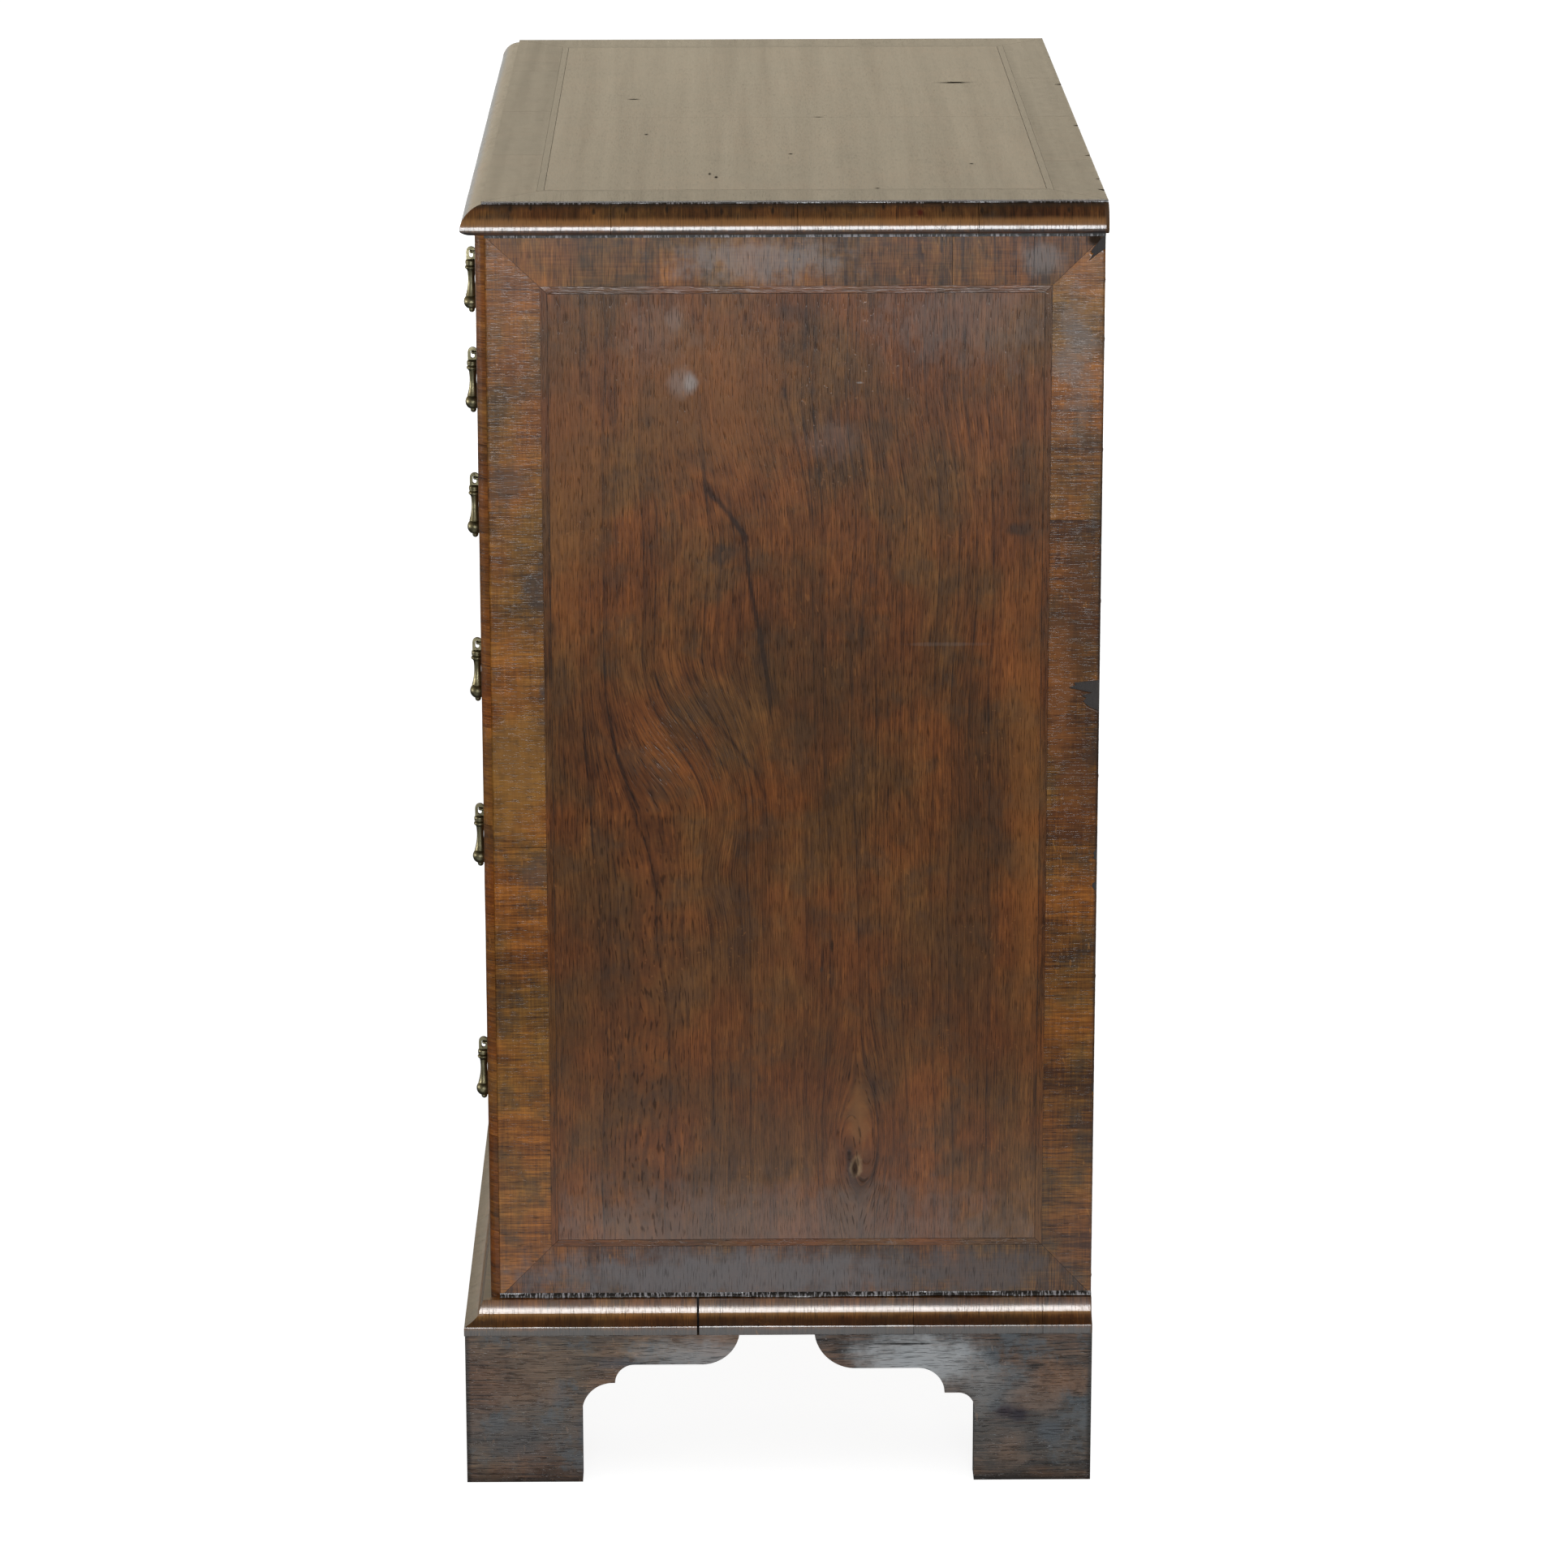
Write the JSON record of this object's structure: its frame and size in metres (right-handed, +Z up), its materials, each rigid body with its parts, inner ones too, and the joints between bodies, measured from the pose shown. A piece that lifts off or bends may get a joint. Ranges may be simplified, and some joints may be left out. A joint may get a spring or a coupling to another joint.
{
  "type": "chest of drawers",
  "caption": "Small walnut-veneered bachelor's chest: graduated long drawers with brass drop handles, moulded top, moulded base and bracket feet.",
  "frame": {"origin": "on the floor, under the centre of the chest's bounding box", "axes": "+Z up, the drawers face -Y, +X to the right as seen from the front"},
  "size_m": [0.728, 0.3894, 0.8],
  "materials": {
    "walnut_veneer": "waxed figured walnut veneer with crossbanded borders",
    "crossgrain_walnut": "waxed cross-grain walnut moulding",
    "foot_walnut": "dark stained walnut, worn",
    "pine": "unfinished aged pine",
    "oak": "unfinished aged oak",
    "brass": "antiqued cast brass"
  },
  "bodies": {
    "case": {"top_board": "walnut_veneer", "top_moulding_front": "crossgrain_walnut", "top_moulding_left": "crossgrain_walnut", "top_moulding_right": "crossgrain_walnut", "base_moulding_front": "crossgrain_walnut", "base_moulding_left": "crossgrain_walnut", "base_moulding_right": "crossgrain_walnut", "edge_bead_left": "crossgrain_walnut", "edge_bead_right": "crossgrain_walnut", "top_rail": "pine", "bottom_rail": "pine", "bottom_board": "pine", "left_side": "walnut_veneer", "right_side": "walnut_veneer", "back_boards": "pine", "foot_front_left": "foot_walnut", "foot_front_right": "foot_walnut", "foot_rear_left": "foot_walnut", "foot_rear_right": "foot_walnut", "drawer_divider_1": "pine", "drawer_divider_2": "pine", "drawer_divider_3": "pine", "drawer_divider_4": "pine", "drawer_divider_5": "pine"},
    "drawer_1": {"drawer_1_front": "walnut_veneer", "drawer_1_box": "oak", "drawer_1_bottom": "oak", "drawer_1_plates": "brass"},
    "drop_1_left": {"drop_1_left": "brass"},
    "drop_1_right": {"drop_1_right": "brass"},
    "drawer_2": {"drawer_2_front": "walnut_veneer", "drawer_2_box": "oak", "drawer_2_bottom": "oak", "drawer_2_plates": "brass"},
    "drop_2_left": {"drop_2_left": "brass"},
    "drop_2_right": {"drop_2_right": "brass"},
    "drawer_3": {"drawer_3_front": "walnut_veneer", "drawer_3_box": "oak", "drawer_3_bottom": "oak", "drawer_3_plates": "brass"},
    "drop_3_left": {"drop_3_left": "brass"},
    "drop_3_right": {"drop_3_right": "brass"},
    "drawer_4": {"drawer_4_front": "walnut_veneer", "drawer_4_box": "oak", "drawer_4_bottom": "oak", "drawer_4_plates": "brass"},
    "drop_4_left": {"drop_4_left": "brass"},
    "drop_4_right": {"drop_4_right": "brass"},
    "drawer_5": {"drawer_5_front": "walnut_veneer", "drawer_5_box": "oak", "drawer_5_bottom": "oak", "drawer_5_plates": "brass"},
    "drop_5_left": {"drop_5_left": "brass"},
    "drop_5_right": {"drop_5_right": "brass"},
    "drawer_6": {"drawer_6_front": "walnut_veneer", "drawer_6_box": "oak", "drawer_6_bottom": "oak", "drawer_6_plates": "brass"},
    "drop_6_left": {"drop_6_left": "brass"},
    "drop_6_right": {"drop_6_right": "brass"}
  },
  "joints": [
    {"name": "drawer_1_slide", "type": "slide", "parent": "case", "child": "drawer_1", "axis": [0, -1, 0], "range_m": [0, 0.28]},
    {"name": "drop_1_left_swing", "type": "hinge", "parent": "drawer_1", "child": "drop_1_left", "pos_m": [-0.228, -0.18575, 0.7502], "axis": [-1, 0, 0], "range_deg": [-6, 120]},
    {"name": "drop_1_right_swing", "type": "hinge", "parent": "drawer_1", "child": "drop_1_right", "pos_m": [0.228, -0.18575, 0.7502], "axis": [-1, 0, 0], "range_deg": [-6, 120]},
    {"name": "drawer_2_slide", "type": "slide", "parent": "case", "child": "drawer_2", "axis": [0, -1, 0], "range_m": [0, 0.28]},
    {"name": "drop_2_left_swing", "type": "hinge", "parent": "drawer_2", "child": "drop_2_left", "pos_m": [-0.228, -0.18575, 0.6879], "axis": [-1, 0, 0], "range_deg": [-6, 120]},
    {"name": "drop_2_right_swing", "type": "hinge", "parent": "drawer_2", "child": "drop_2_right", "pos_m": [0.228, -0.18575, 0.6879], "axis": [-1, 0, 0], "range_deg": [-6, 120]},
    {"name": "drawer_3_slide", "type": "slide", "parent": "case", "child": "drawer_3", "axis": [0, -1, 0], "range_m": [0, 0.28]},
    {"name": "drop_3_left_swing", "type": "hinge", "parent": "drawer_3", "child": "drop_3_left", "pos_m": [-0.228, -0.18575, 0.6093], "axis": [-1, 0, 0], "range_deg": [-6, 120]},
    {"name": "drop_3_right_swing", "type": "hinge", "parent": "drawer_3", "child": "drop_3_right", "pos_m": [0.228, -0.18575, 0.6093], "axis": [-1, 0, 0], "range_deg": [-6, 120]},
    {"name": "drawer_4_slide", "type": "slide", "parent": "case", "child": "drawer_4", "axis": [0, -1, 0], "range_m": [0, 0.28]},
    {"name": "drop_4_left_swing", "type": "hinge", "parent": "drawer_4", "child": "drop_4_left", "pos_m": [-0.228, -0.18575, 0.5046], "axis": [-1, 0, 0], "range_deg": [-6, 120]},
    {"name": "drop_4_right_swing", "type": "hinge", "parent": "drawer_4", "child": "drop_4_right", "pos_m": [0.228, -0.18575, 0.5046], "axis": [-1, 0, 0], "range_deg": [-6, 120]},
    {"name": "drawer_5_slide", "type": "slide", "parent": "case", "child": "drawer_5", "axis": [0, -1, 0], "range_m": [0, 0.28]},
    {"name": "drop_5_left_swing", "type": "hinge", "parent": "drawer_5", "child": "drop_5_left", "pos_m": [-0.228, -0.18575, 0.3976], "axis": [-1, 0, 0], "range_deg": [-6, 120]},
    {"name": "drop_5_right_swing", "type": "hinge", "parent": "drawer_5", "child": "drop_5_right", "pos_m": [0.228, -0.18575, 0.3976], "axis": [-1, 0, 0], "range_deg": [-6, 120]},
    {"name": "drawer_6_slide", "type": "slide", "parent": "case", "child": "drawer_6", "axis": [0, -1, 0], "range_m": [0, 0.28]},
    {"name": "drop_6_left_swing", "type": "hinge", "parent": "drawer_6", "child": "drop_6_left", "pos_m": [-0.228, -0.18575, 0.2441], "axis": [-1, 0, 0], "range_deg": [-6, 120]},
    {"name": "drop_6_right_swing", "type": "hinge", "parent": "drawer_6", "child": "drop_6_right", "pos_m": [0.228, -0.18575, 0.2441], "axis": [-1, 0, 0], "range_deg": [-6, 120]}
  ]
}
